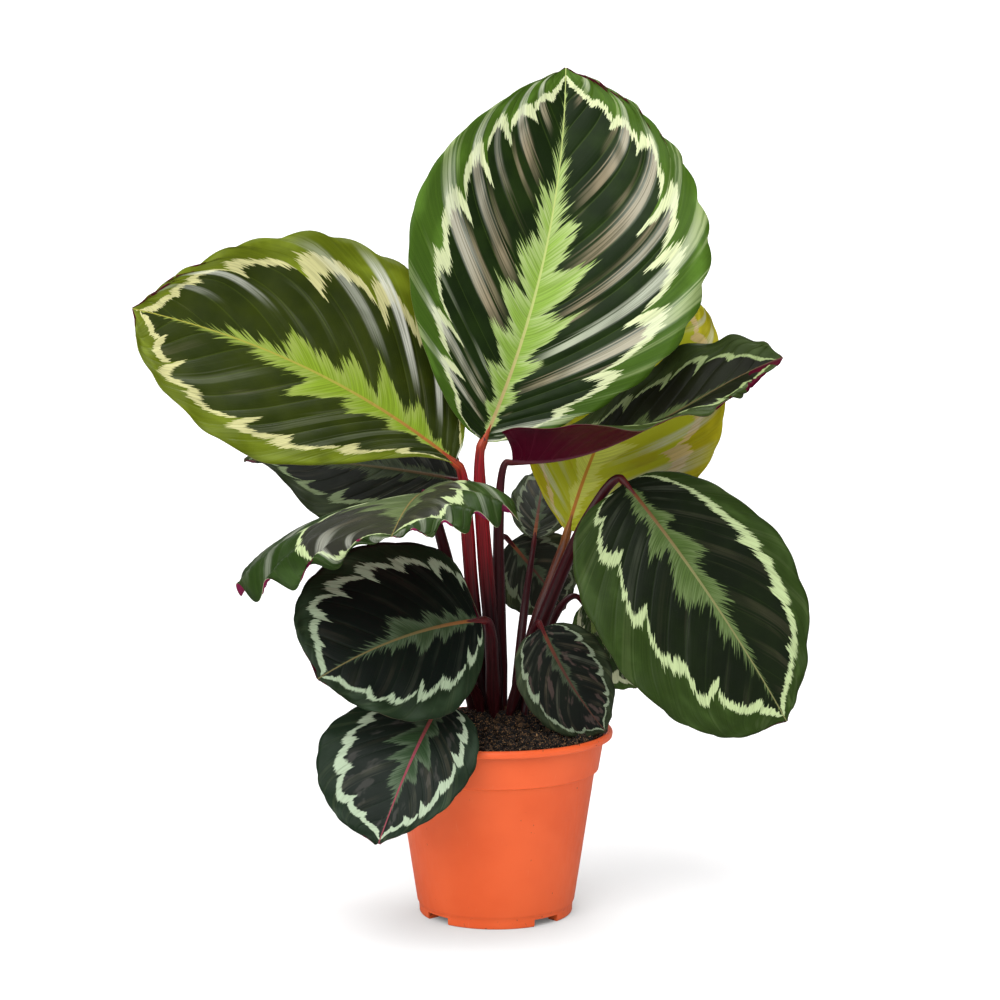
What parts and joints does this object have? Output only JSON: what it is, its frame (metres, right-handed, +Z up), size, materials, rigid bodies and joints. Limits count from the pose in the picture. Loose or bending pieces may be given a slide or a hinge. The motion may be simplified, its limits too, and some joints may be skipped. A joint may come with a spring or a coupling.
{
  "type": "potted calathea",
  "caption": "Potted calathea: round tapered nursery pot filled with soil, broad ring-patterned leaves on slender bare stalks.",
  "frame": {"origin": "centre of the pot's underside, on the surface it stands on", "axes": "+Z up along the pot's axis, +X to the right and -Y towards the viewer in the picture"},
  "size_m": [0.3936, 0.2612, 0.5016],
  "materials": {
    "pot_plastic": "satin",
    "soil_peat": "matte",
    "leaf_bright": "satin",
    "leaf_olive": "satin",
    "leaf_dark": "satin",
    "leaf_grey": "satin",
    "stalk_red": "satin",
    "stalk_brown": "satin"
  },
  "bodies": {
    "root": {"pot": "pot_plastic", "soil": "soil_peat", "leaf01_blade": "leaf_bright", "leaf02_blade": "leaf_olive", "leaf03_blade": "leaf_dark", "leaf04_blade": "leaf_olive", "leaf05_blade": "leaf_dark", "leaf06_blade": "leaf_dark", "leaf07_blade": "leaf_grey", "leaf08_blade": "leaf_dark", "leaf09_blade": "leaf_dark", "leaf10_blade": "leaf_dark", "leaf11_blade": "leaf_grey", "leaf12_blade": "leaf_grey", "leaf13_blade": "leaf_dark", "leaf01_stalk": "stalk_red", "leaf02_stalk": "stalk_red", "leaf03_stalk": "stalk_red", "leaf04_stalk": "stalk_brown", "leaf05_stalk": "stalk_red", "leaf06_stalk": "stalk_red", "leaf07_stalk": "stalk_red", "leaf08_stalk": "stalk_red", "leaf09_stalk": "stalk_red", "leaf10_stalk": "stalk_red", "leaf11_stalk": "stalk_red", "leaf12_stalk": "stalk_red", "leaf13_stalk": "stalk_red"}
  },
  "joints": []
}
